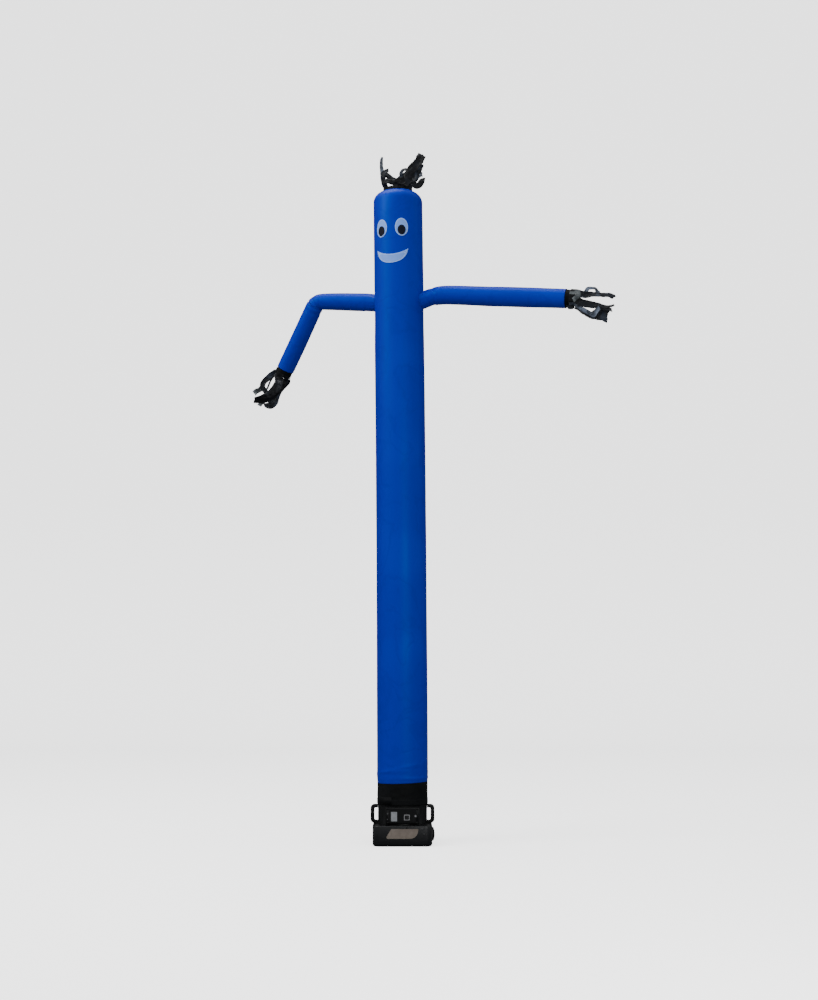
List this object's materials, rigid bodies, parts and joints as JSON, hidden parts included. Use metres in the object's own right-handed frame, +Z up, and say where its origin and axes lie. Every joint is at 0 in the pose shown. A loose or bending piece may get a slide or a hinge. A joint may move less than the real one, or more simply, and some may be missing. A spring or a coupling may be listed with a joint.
{
  "type": "inflatable air dancer on a blower",
  "caption": "Tall blue cloth tube figure with two arms, a smiling face and loose black ribbons, blown upright by the low fan housing it is strapped on.",
  "frame": {"origin": "middle of the blower's flat underside, on the ground", "axes": "+Z up, front (switch panel and face) towards -Y, +X to the right as seen from the front"},
  "size_m": [3.3732, 1.2875, 6.3474],
  "materials": {
    "blue_nylon": "taut coated nylon with a soft satin sheen",
    "black_nylon": "black coated nylon, matt",
    "black_ribbon": "thin black ripstop, crumpled, with a slight sheen",
    "white_cloth": "white sewn-on cloth, matt",
    "pupil_cloth": "dark sewn-on cloth, matt",
    "black_plastic": "moulded, fine grained",
    "label_grey": "printed foil, bare",
    "label_taupe": "printed foil, bare",
    "bezel_grey": "moulded, smooth",
    "screw_steel": "zinc plated"
  },
  "bodies": {
    "dancer": {"base_sleeve": "black_nylon", "body_tube": "blue_nylon", "control_panel": "black_plastic", "cord_gland": "black_plastic", "crown_band": "black_nylon", "eye_left": "white_cloth", "eye_right": "white_cloth", "front_clip": "bezel_grey", "front_label": "label_taupe", "hair_back_flap": "black_ribbon", "hair_flap_right": "black_ribbon", "hair_front_lap": "black_ribbon", "hair_jagged_right": "black_ribbon", "hair_low_cross": "black_ribbon", "hair_low_loop": "black_ribbon", "hair_small_loop": "black_ribbon", "hair_stub_left": "black_ribbon", "hair_sweep": "black_ribbon", "hair_tall_left": "black_ribbon", "hair_tall_right": "black_ribbon", "housing_screw_lower": "screw_steel", "housing_screw_upper": "screw_steel", "intake_guard": "black_plastic", "left_forearm": "blue_nylon", "left_hand_centre": "black_ribbon", "left_hand_centre_back": "black_ribbon", "left_hand_cuff": "black_nylon", "left_hand_flag": "black_ribbon", "left_hand_low_loop": "black_ribbon", "left_hand_outer": "black_ribbon", "left_hand_strand": "black_ribbon", "left_hand_tips": "black_ribbon", "left_handle": "black_plastic", "left_upper_arm": "blue_nylon", "lower_housing": "black_plastic", "mouth": "white_cloth", "outlet_drum": "black_plastic", "panel_screw_lower": "screw_steel", "panel_screw_upper": "screw_steel", "pupil_left": "pupil_cloth", "pupil_right": "pupil_cloth", "rating_label": "label_grey", "reset_collar": "bezel_grey", "right_arm": "blue_nylon", "right_hand_cuff": "black_nylon", "right_hand_fold_back": "black_ribbon", "right_hand_knot": "black_ribbon", "right_hand_lower": "black_ribbon", "right_hand_middle": "black_ribbon", "right_hand_middle_back": "black_ribbon", "right_hand_upper": "black_ribbon", "right_hand_upper_loop": "black_ribbon", "right_handle": "black_plastic", "sleeve_strap": "black_nylon", "strap_tail": "black_nylon", "switch_bezel": "bezel_grey"},
    "rocker": {"switch_rocker": "black_plastic"},
    "button": {"reset_button": "bezel_grey"}
  },
  "joints": [
    {"name": "switch_rock", "type": "hinge", "parent": "dancer", "child": "rocker", "pos_m": [0.039, -0.2413, 0.253], "axis": [1, 0, 0], "range_deg": [0, 14]},
    {"name": "reset_push", "type": "slide", "parent": "dancer", "child": "button", "axis": [0, 1, 0], "range_m": [0, 0.004], "stiffness_N_per_m": 300}
  ]
}
